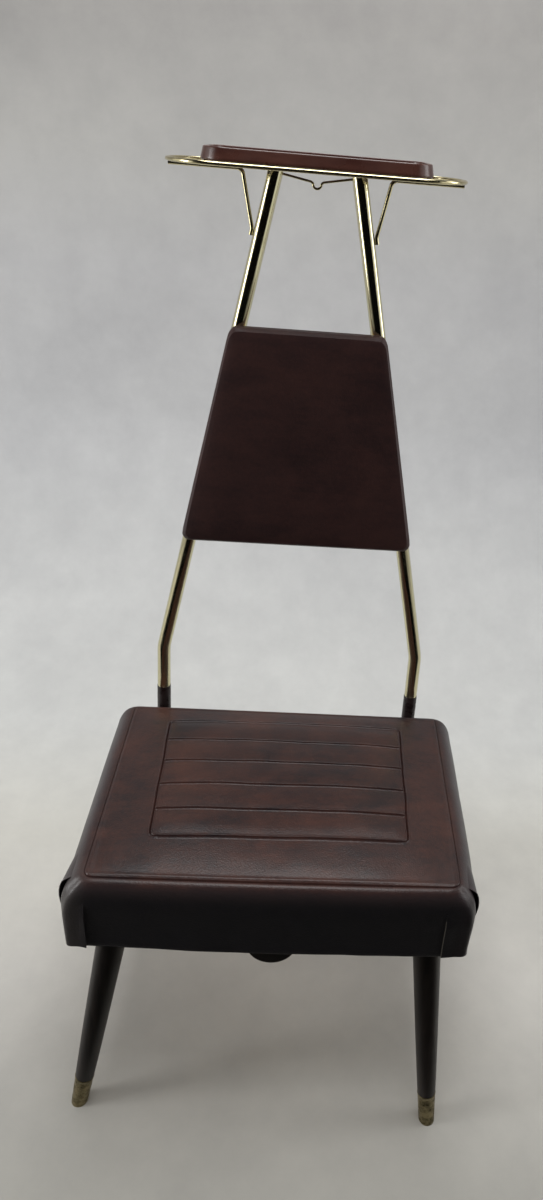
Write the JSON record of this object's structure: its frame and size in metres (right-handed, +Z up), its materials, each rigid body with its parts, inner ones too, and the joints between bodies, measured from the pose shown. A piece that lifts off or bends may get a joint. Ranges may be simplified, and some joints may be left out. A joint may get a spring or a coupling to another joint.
{
  "type": "clothes valet chair",
  "caption": "Low padded seat with a lift-up lid over a shallow box, splayed legs, and bent tubes carrying a padded back, a wire hanger ring and a dished tray.",
  "frame": {"origin": "on the floor, under the middle of the chair's outline in plan", "axes": "+Z up, +Y to the back, +X to the right as seen from the front"},
  "size_m": [0.49, 0.4492, 1.152],
  "materials": {
    "seat_vinyl": "reddish-brown grained vinyl, satin",
    "skirt_vinyl": "near-black brown vinyl, satin",
    "back_vinyl": "dark brown vinyl, satin",
    "dark_wood": "turned hardwood, dark walnut stain, satin",
    "plywood": "bare plywood",
    "ferrule_brass": "aged drawn brass",
    "tube_brass": "bright pale brass plate",
    "wire_brass": "bright pale brass plate",
    "tray_gloss": "glossy maroon-brown",
    "steel": "plain zinc plate",
    "rubber": "matt black"
  },
  "bodies": {
    "root": {"box_floor": "plywood", "front_rail": "dark_wood", "rear_rail": "dark_wood", "side_rail_left": "dark_wood", "side_rail_right": "dark_wood", "glue_blocks": "plywood", "lid_bumpers": "rubber", "leg_plates": "steel", "plate_screws": "steel", "hanger_bolts": "steel", "leg_front_left": "dark_wood", "leg_front_right": "dark_wood", "leg_rear_left": "dark_wood", "leg_rear_right": "dark_wood", "ferrule_front_left": "ferrule_brass", "ferrule_front_right": "ferrule_brass", "ferrule_rear_left": "ferrule_brass", "ferrule_rear_right": "ferrule_brass", "upright_blocks": "dark_wood", "upright_left": "tube_brass", "upright_right": "tube_brass", "upright_bolts": "wire_brass", "bolt_nuts": "steel", "tube_plugs": "rubber", "back_board": "plywood", "back_pad": "back_vinyl", "back_screws": "wire_brass", "hanger_ring": "wire_brass", "cross_wires": "wire_brass", "tray_straps": "wire_brass", "brace_left": "wire_brass", "brace_right": "wire_brass", "hook_wire": "wire_brass", "tray": "tray_gloss", "tray_screws": "steel", "hinge_brackets": "steel", "hinge_pins": "steel"},
    "lid": {"hinge_leaves": "steel", "seat_board": "plywood", "seat_cushion": "seat_vinyl", "skirt_front": "skirt_vinyl", "skirt_left": "skirt_vinyl", "skirt_right": "skirt_vinyl", "lift_tab": "dark_wood", "tab_screws": "steel"}
  },
  "joints": [
    {"name": "seat_lift", "type": "hinge", "parent": "root", "child": "lid", "pos_m": [0, 0.13559, 0.356], "axis": [-1, 0, 0], "range_deg": [0, 68]}
  ]
}
